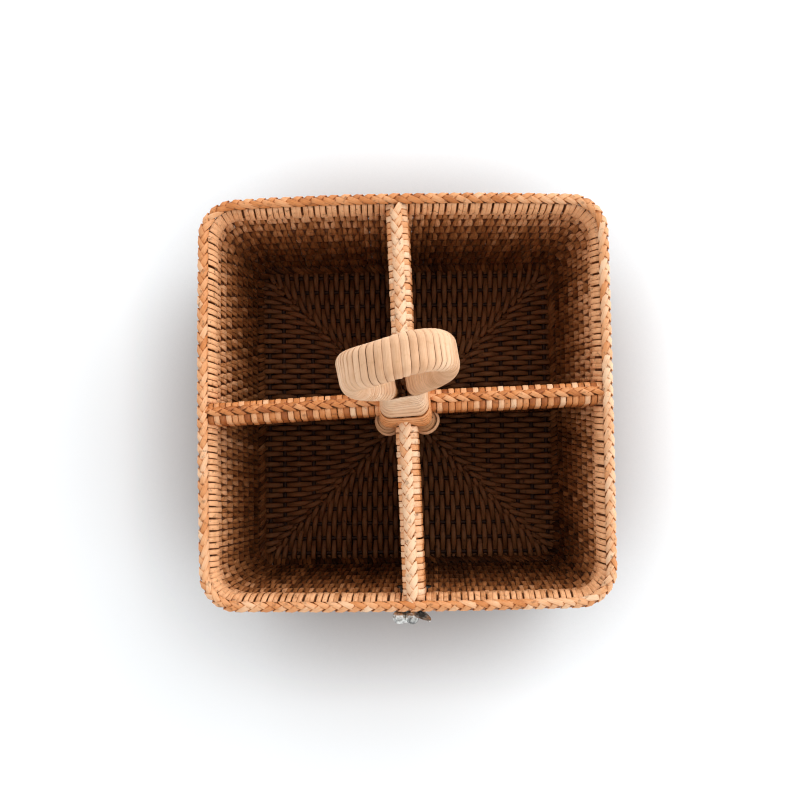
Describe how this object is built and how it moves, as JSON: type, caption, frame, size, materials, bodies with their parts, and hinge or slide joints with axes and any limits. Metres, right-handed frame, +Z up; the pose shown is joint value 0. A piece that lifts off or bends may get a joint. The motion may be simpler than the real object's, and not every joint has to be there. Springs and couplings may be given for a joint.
{
  "type": "cutlery caddy",
  "caption": "Square woven rattan caddy with flared walls, a braided rim, a cross divider for upright cutlery and a wrapped loop handle.",
  "frame": {"origin": "middle of the flat underside, on the surface that the caddy stands on", "axes": "+X to the right and +Y to the back as seen with the ornament in front, +Z up along the handle"},
  "size_m": [0.18, 0.1866, 0.215],
  "materials": {
    "peel": "split rattan peel in plain weave, satin",
    "braid": "flat rattan strips braided in a herringbone, satin",
    "cane": "pale flat cane winding, satin",
    "rattan": "round rattan rod, satin",
    "pewter": "cast pewter, polished high spots"
  },
  "bodies": {
    "root": {"floor_weave": "peel", "wall_weave": "peel", "rim_rod": "rattan", "rim_braid": "braid", "divider_cross": "peel", "divider_fore_aft": "peel", "cap_left": "braid", "cap_right": "braid", "cap_back": "braid", "cap_front": "braid", "cap_rod_left": "rattan", "cap_rod_right": "rattan", "cap_rod_back": "rattan", "cap_rod_front": "rattan", "handle_rod_front": "rattan", "handle_rod_back": "rattan", "handle_wrap": "cane", "neck_band": "cane", "collar_lashing": "braid", "leg_lashing_front_left": "cane", "leg_lashing_front_right": "cane", "leg_lashing_back_left": "cane", "leg_lashing_back_right": "cane", "ornament_sprig": "pewter", "sprig_pin_left": "pewter", "sprig_pin_right": "pewter"}
  },
  "joints": []
}
